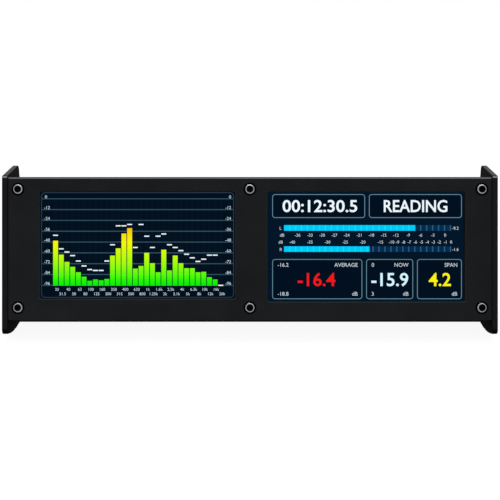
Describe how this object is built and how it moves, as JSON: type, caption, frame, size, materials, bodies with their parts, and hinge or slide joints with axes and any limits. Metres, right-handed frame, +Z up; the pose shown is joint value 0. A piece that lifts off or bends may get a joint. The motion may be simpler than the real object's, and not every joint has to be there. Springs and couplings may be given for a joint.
{
  "type": "desktop audio level meter",
  "caption": "Low wide desktop audio meter: a leaning black front panel with two picture screens between upright side plates, with round sockets and a power switch at the rear.",
  "frame": {"origin": "on the desk, under the middle of the meter's box", "axes": "+X to the right seen from the front, +Y to the rear, +Z up; the front panel faces -Y and leans back"},
  "size_m": [0.2774, 0.0542, 0.0894],
  "materials": {
    "panel_paint": "fine matt black powder coat",
    "plate_paint": "satin black coat with broken edges",
    "sheet_paint": "matt black coat",
    "black_screw": "black oxide, worn bright on the crown",
    "plain_steel": "bright zinc",
    "foot_rubber": "matt",
    "gasket_foam": "closed cell foam",
    "cover_glass": "clear, polished",
    "screen_picture": "lit picture",
    "circuit_board": "solder resist",
    "sink_metal": "extruded",
    "capacitor_sleeve": "shrink sleeve",
    "chip_black": "moulded",
    "ribbon_film": "flat film",
    "socket_metal": "black coated die casting",
    "socket_core": "moulded",
    "latch_metal": "nickel",
    "port_metal": "drawn shell",
    "contact_brass": "turned",
    "switch_black": "fine spark finish",
    "rocker_black": "smooth",
    "lead_red": "insulated lead"
  },
  "bodies": {
    "chassis": {"analog_left_core": "socket_core", "analog_left_shell": "socket_metal", "analog_right_core": "socket_core", "analog_right_shell": "socket_metal", "board_screws": "plain_steel", "board_standoffs": "plain_steel", "bottom_tray": "sheet_paint", "bracket_screws": "plain_steel", "capacitors": "capacitor_sleeve", "converter_chips": "chip_black", "cover_glass_left": "cover_glass", "cover_glass_right": "cover_glass", "dc_inlet": "socket_core", "dc_pin": "contact_brass", "digital_core": "socket_core", "digital_shell": "socket_metal", "display_bracket_left": "plain_steel", "display_bracket_right": "plain_steel", "display_posts": "plain_steel", "driver_board_left": "circuit_board", "driver_board_right": "circuit_board", "driver_screws": "plain_steel", "driver_spacers": "plain_steel", "foot_strip_left": "foot_rubber", "foot_strip_right": "foot_rubber", "front_nuts": "plain_steel", "front_panel": "panel_paint", "front_screws": "black_screw", "gasket_left": "gasket_foam", "gasket_right": "gasket_foam", "heat_sink": "sink_metal", "lcd_left": "screen_picture", "lcd_right": "screen_picture", "main_board": "circuit_board", "processor_can": "plain_steel", "rear_nuts": "plain_steel", "rear_panel": "sheet_paint", "rear_panel_screws": "black_screw", "ribbon_left": "ribbon_film", "ribbon_right": "ribbon_film", "ribbon_sockets": "chip_black", "side_nuts": "plain_steel", "side_plate_left": "plate_paint", "side_plate_right": "plate_paint", "side_screws": "black_screw", "socket_nuts": "plain_steel", "socket_screws": "black_screw", "switch_frame": "switch_black", "switch_leads": "lead_red", "top_cover": "sheet_paint", "usb_shell": "port_metal", "usb_tongue": "socket_core"},
    "power_rocker": {"power_rocker": "rocker_black"},
    "digital_latch": {"digital_latch": "latch_metal"},
    "analog_left_latch": {"analog_left_latch": "latch_metal"},
    "analog_right_latch": {"analog_right_latch": "latch_metal"}
  },
  "joints": [
    {"name": "power_rocker_hinge", "type": "hinge", "parent": "chassis", "child": "power_rocker", "pos_m": [-0.09812, 0.02142, 0.0276], "axis": [-1, 0, 0], "range_deg": [0, 18]},
    {"name": "digital_latch_slide", "type": "slide", "parent": "chassis", "child": "digital_latch", "axis": [0, -1, 0], "range_m": [0, 0.0015], "stiffness_N_per_m": 300, "springref_m": -0.0005},
    {"name": "analog_right_latch_slide", "type": "slide", "parent": "chassis", "child": "analog_right_latch", "axis": [0, -1, 0], "range_m": [0, 0.0015], "stiffness_N_per_m": 300, "springref_m": -0.0005},
    {"name": "analog_left_latch_slide", "type": "slide", "parent": "chassis", "child": "analog_left_latch", "axis": [0, -1, 0], "range_m": [0, 0.0015], "stiffness_N_per_m": 300, "springref_m": -0.0005}
  ]
}
